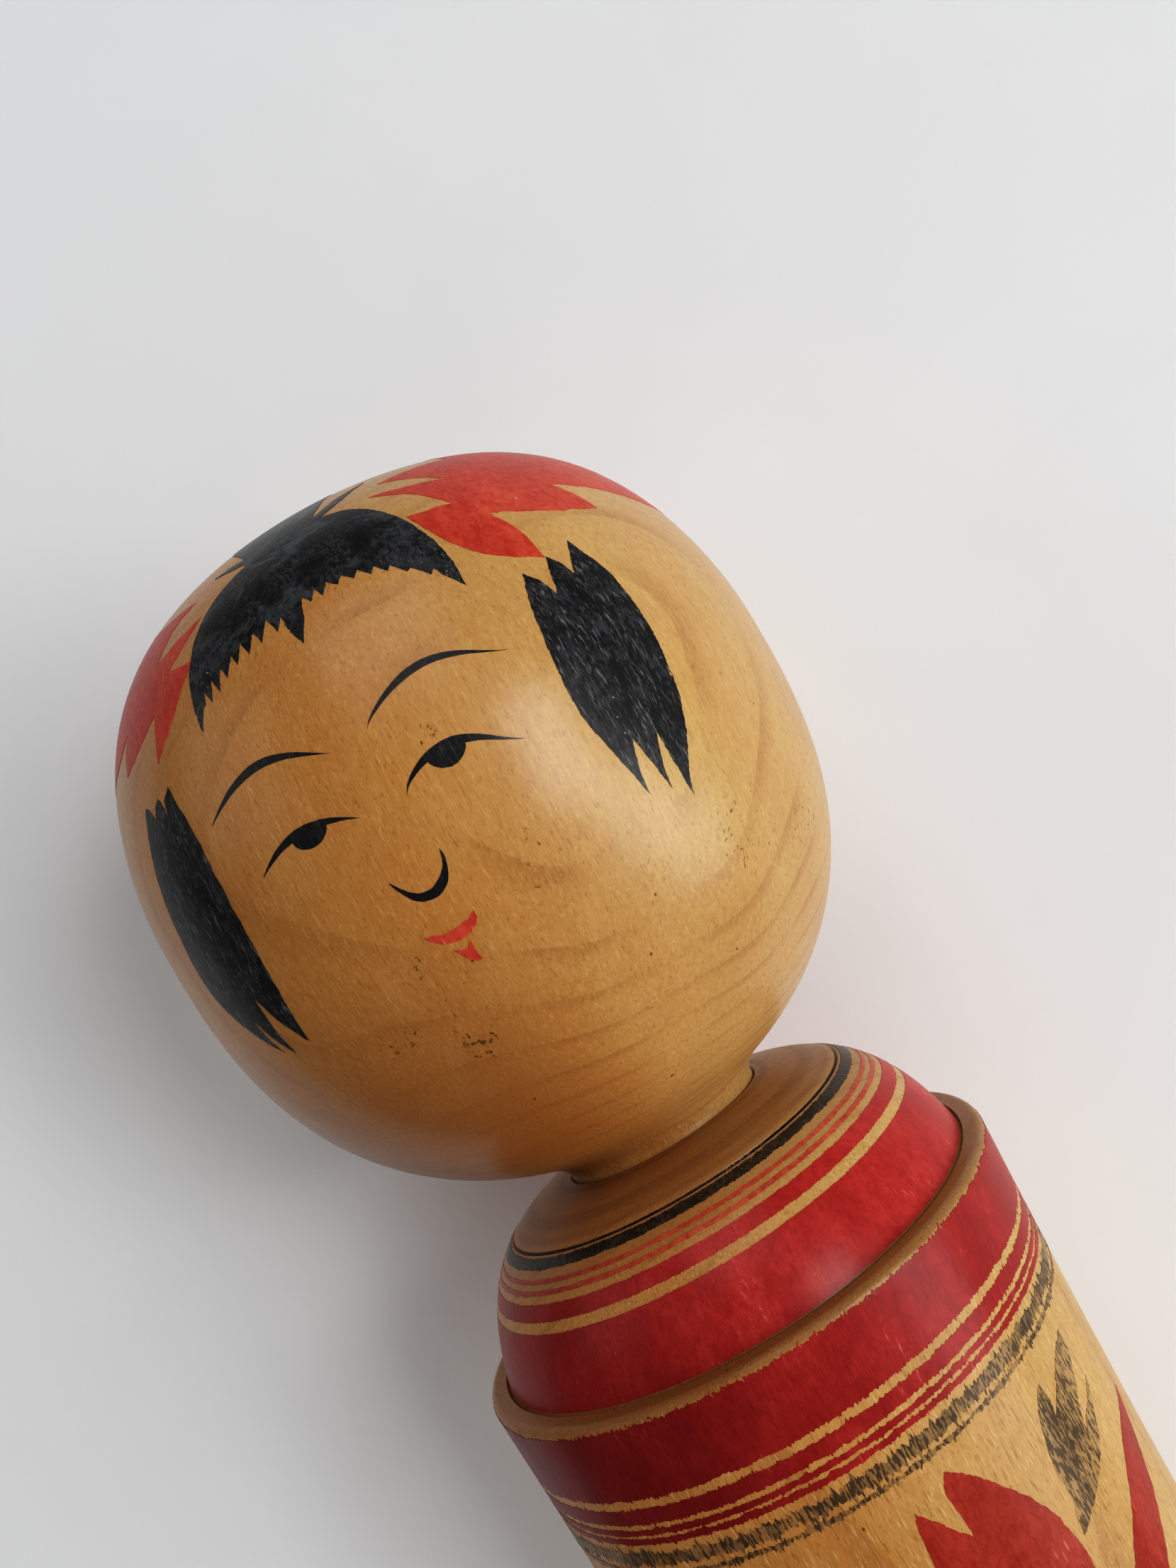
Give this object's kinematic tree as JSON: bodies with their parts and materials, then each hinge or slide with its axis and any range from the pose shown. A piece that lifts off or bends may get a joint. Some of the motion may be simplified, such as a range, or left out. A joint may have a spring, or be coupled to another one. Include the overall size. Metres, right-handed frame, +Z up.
{
  "type": "kokeshi doll",
  "caption": "Turned wooden doll: a plain cylindrical body with a domed shoulder, and a rounded head that turns in a socket in the body.",
  "frame": {"origin": "centre of the flat base, on the surface that the doll stands on", "axes": "+Z up along the turning axis of both pieces, the face looks along -Y, +X to the doll's left"},
  "size_m": [0.078, 0.078, 0.242],
  "materials": {
    "body_wood": "waxed",
    "head_wood": "waxed",
    "black_ink": "brushed ink under wax",
    "red_dye": "dye soaked into the wood, under wax"
  },
  "bodies": {
    "doll_body": {"body": "body_wood"},
    "doll_head": {"head": "head_wood"}
  },
  "joints": [
    {"name": "head_turn", "type": "hinge", "parent": "doll_body", "child": "doll_head", "pos_m": [0, 0, 0.162], "axis": [0, 0, 1], "continuous": true}
  ]
}
